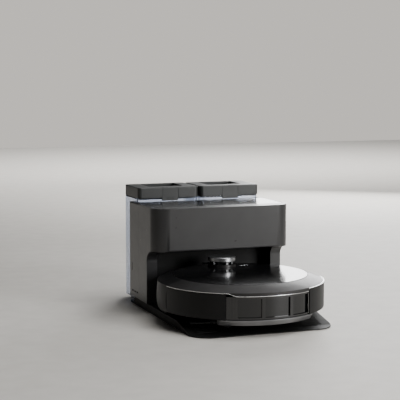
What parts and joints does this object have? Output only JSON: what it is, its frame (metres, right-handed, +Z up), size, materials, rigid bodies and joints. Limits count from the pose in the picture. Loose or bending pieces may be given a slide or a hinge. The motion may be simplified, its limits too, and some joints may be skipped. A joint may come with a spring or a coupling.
{
  "type": "robot vacuum and mop with wash-and-empty station",
  "caption": "Round robot vacuum and mop with a scanning turret, parked under the head of a charging, washing and emptying station with lift-out water tanks.",
  "frame": {"origin": "centre of the bounding box at floor level, robot parked in the station", "axes": "+Z up, -Y the front that the robot drives out of, +X to the right seen from the front"},
  "size_m": [0.35, 0.526, 0.2615],
  "materials": {
    "charcoal_shell": "satin moulded charcoal ABS",
    "base_plastic": "fine textured black",
    "gloss_black": "polished black",
    "dark_plastic": "satin dark grey",
    "lid_plastic": "satin grey",
    "tank_plastic": "translucent, clear and slightly blue",
    "deck_metallic": "metallic dark grey paint",
    "chrome_trim": "polished",
    "smoked_window": "smoked, polished",
    "turret_metal": "brushed",
    "contact_steel": "brushed",
    "rubber": "matte",
    "white_plastic": "satin",
    "circuit_board": "solder mask",
    "mop_fabric": "looped microfibre",
    "bag_fabric": "non-woven",
    "bristle": "nylon bristle and rubber vane"
  },
  "bodies": {
    "station": {"base_plate": "base_plastic", "foot_front_left": "rubber", "foot_front_right": "rubber", "foot_rear_left": "rubber", "foot_rear_right": "rubber", "wash_tray": "dark_plastic", "front_shell": "charcoal_shell", "rear_housing": "charcoal_shell", "back_cover": "charcoal_shell", "charging_contact_left": "contact_steel", "charging_contact_right": "contact_steel", "beacon_window": "smoked_window", "dust_bag": "bag_fabric", "dust_bag_collar": "white_plastic", "detergent_bottle": "white_plastic", "clean_water_pump": "dark_plastic", "dirty_water_pump": "dark_plastic", "suction_fan": "dark_plastic", "drying_fan": "dark_plastic", "control_board": "circuit_board", "power_supply": "white_plastic", "power_inlet": "base_plastic", "cover_hinge_rod": "contact_steel"},
    "dust_cover": {"dust_cover": "gloss_black"},
    "detergent_cover": {"detergent_cover": "gloss_black"},
    "clean_tank": {"clean_tank": "tank_plastic"},
    "clean_tank_lid": {"clean_tank_lid": "lid_plastic"},
    "clean_tank_latch": {"clean_tank_latch": "lid_plastic"},
    "dirty_tank": {"dirty_tank": "tank_plastic"},
    "dirty_tank_lid": {"dirty_tank_lid": "lid_plastic"},
    "dirty_tank_latch": {"dirty_tank_latch": "lid_plastic"},
    "robot": {"chassis": "base_plastic", "deck": "deck_metallic", "deck_trim": "chrome_trim", "rear_shell": "dark_plastic", "lidar_base": "turret_metal", "dustbin": "smoked_window", "fan_motor": "dark_plastic", "battery": "white_plastic", "main_board": "circuit_board"},
    "top_cover": {"top_cover": "gloss_black"},
    "start_button": {"start_button": "turret_metal"},
    "bumper": {"bumper": "dark_plastic", "window_frame": "dark_plastic", "sensor_window": "smoked_window", "chin": "dark_plastic"},
    "lidar_head": {"lidar_head": "smoked_window"},
    "lidar_cap": {"lidar_cap": "turret_metal"},
    "wheel_arm_left": {"wheel_arm_left": "dark_plastic"},
    "wheel_left": {"wheel_left": "rubber"},
    "wheel_arm_right": {"wheel_arm_right": "dark_plastic"},
    "wheel_right": {"wheel_right": "rubber"},
    "caster_fork": {"caster_fork": "dark_plastic"},
    "caster_wheel": {"caster_wheel": "rubber"},
    "main_brush": {"main_brush": "bristle"},
    "side_brush": {"side_brush": "bristle"},
    "mop_pad_left": {"mop_pad_left": "mop_fabric"},
    "mop_pad_right": {"mop_pad_right": "mop_fabric"}
  },
  "joints": [
    {"name": "robot_drive_out", "type": "slide", "parent": "station", "child": "robot", "axis": [0, -1, 0], "range_m": [0, 0.4]},
    {"name": "dust_cover_hinge", "type": "hinge", "parent": "station", "child": "dust_cover", "pos_m": [0, 0.144, 0.2255], "axis": [-1, 0, 0], "range_deg": [0, 75]},
    {"name": "detergent_cover_hinge", "type": "hinge", "parent": "station", "child": "detergent_cover", "pos_m": [0, 0.144, 0.2255], "axis": [-1, 0, 0], "range_deg": [0, 75]},
    {"name": "clean_tank_lift", "type": "slide", "parent": "station", "child": "clean_tank", "axis": [0, 0, 1], "range_m": [0, 0.25]},
    {"name": "clean_tank_lid_hinge", "type": "hinge", "parent": "clean_tank", "child": "clean_tank_lid", "pos_m": [0, 0.263, 0.2378], "axis": [-1, 0, 0], "range_deg": [0, 85]},
    {"name": "clean_tank_latch_hinge", "type": "hinge", "parent": "clean_tank_lid", "child": "clean_tank_latch", "pos_m": [-0.07, 0.1586, 0.2585], "axis": [-1, 0, 0], "range_deg": [0, 30]},
    {"name": "dirty_tank_lift", "type": "slide", "parent": "station", "child": "dirty_tank", "axis": [0, 0, 1], "range_m": [0, 0.25]},
    {"name": "dirty_tank_lid_hinge", "type": "hinge", "parent": "dirty_tank", "child": "dirty_tank_lid", "pos_m": [0, 0.263, 0.2378], "axis": [-1, 0, 0], "range_deg": [0, 85]},
    {"name": "dirty_tank_latch_hinge", "type": "hinge", "parent": "dirty_tank_lid", "child": "dirty_tank_latch", "pos_m": [0.075, 0.1586, 0.2585], "axis": [-1, 0, 0], "range_deg": [0, 30]},
    {"name": "top_cover_lift", "type": "slide", "parent": "robot", "child": "top_cover", "axis": [0, 0, 1], "range_m": [0, 0.03]},
    {"name": "start_button_press", "type": "slide", "parent": "top_cover", "child": "start_button", "axis": [0, 0, -1], "range_m": [0, 0.0008], "stiffness_N_per_m": 500, "springref_m": -0.001},
    {"name": "bumper_press", "type": "slide", "parent": "robot", "child": "bumper", "axis": [0, 1, 0], "range_m": [0, 0.0025], "stiffness_N_per_m": 1500, "springref_m": -0.001},
    {"name": "lidar_spin", "type": "hinge", "parent": "robot", "child": "lidar_head", "pos_m": [0, 0.0176, 0.104], "axis": [0, 0, 1], "continuous": true},
    {"name": "lidar_cap_press", "type": "slide", "parent": "robot", "child": "lidar_cap", "axis": [0, 0, -1], "range_m": [0, 0.0015], "stiffness_N_per_m": 2000, "springref_m": -0.001},
    {"name": "wheel_arm_left_hinge", "type": "hinge", "parent": "robot", "child": "wheel_arm_left", "pos_m": [-0.0925, -0.13, 0.056], "axis": [1, 0, 0], "range_deg": [0, 7]},
    {"name": "wheel_left_spin", "type": "hinge", "parent": "wheel_arm_left", "child": "wheel_left", "pos_m": [-0.115, -0.088, 0.0498], "axis": [1, 0, 0], "continuous": true},
    {"name": "wheel_arm_right_hinge", "type": "hinge", "parent": "robot", "child": "wheel_arm_right", "pos_m": [0.0925, -0.13, 0.056], "axis": [1, 0, 0], "range_deg": [0, 7]},
    {"name": "wheel_right_spin", "type": "hinge", "parent": "wheel_arm_right", "child": "wheel_right", "pos_m": [0.115, -0.088, 0.0498], "axis": [1, 0, 0], "continuous": true},
    {"name": "caster_swivel", "type": "hinge", "parent": "robot", "child": "caster_fork", "pos_m": [0, -0.208, 0.045], "axis": [0, 0, 1], "continuous": true},
    {"name": "caster_wheel_spin", "type": "hinge", "parent": "caster_fork", "child": "caster_wheel", "pos_m": [0, -0.202, 0.0278], "axis": [1, 0, 0], "continuous": true},
    {"name": "main_brush_spin", "type": "hinge", "parent": "robot", "child": "main_brush", "pos_m": [0, -0.129, 0.038], "axis": [1, 0, 0], "continuous": true},
    {"name": "side_brush_spin", "type": "hinge", "parent": "robot", "child": "side_brush", "pos_m": [-0.095, -0.188, 0.024], "axis": [0, 0, 1], "continuous": true},
    {"name": "mop_pad_left_spin", "type": "hinge", "parent": "robot", "child": "mop_pad_left", "pos_m": [-0.07, -0.01, 0.023], "axis": [0, 0, 1], "continuous": true},
    {"name": "mop_pad_right_spin", "type": "hinge", "parent": "robot", "child": "mop_pad_right", "pos_m": [0.07, -0.01, 0.023], "axis": [0, 0, 1], "continuous": true}
  ],
  "couplings": [
    {"joint": "mop_pad_right_spin", "follows": "mop_pad_left_spin", "ratio": -1}
  ]
}
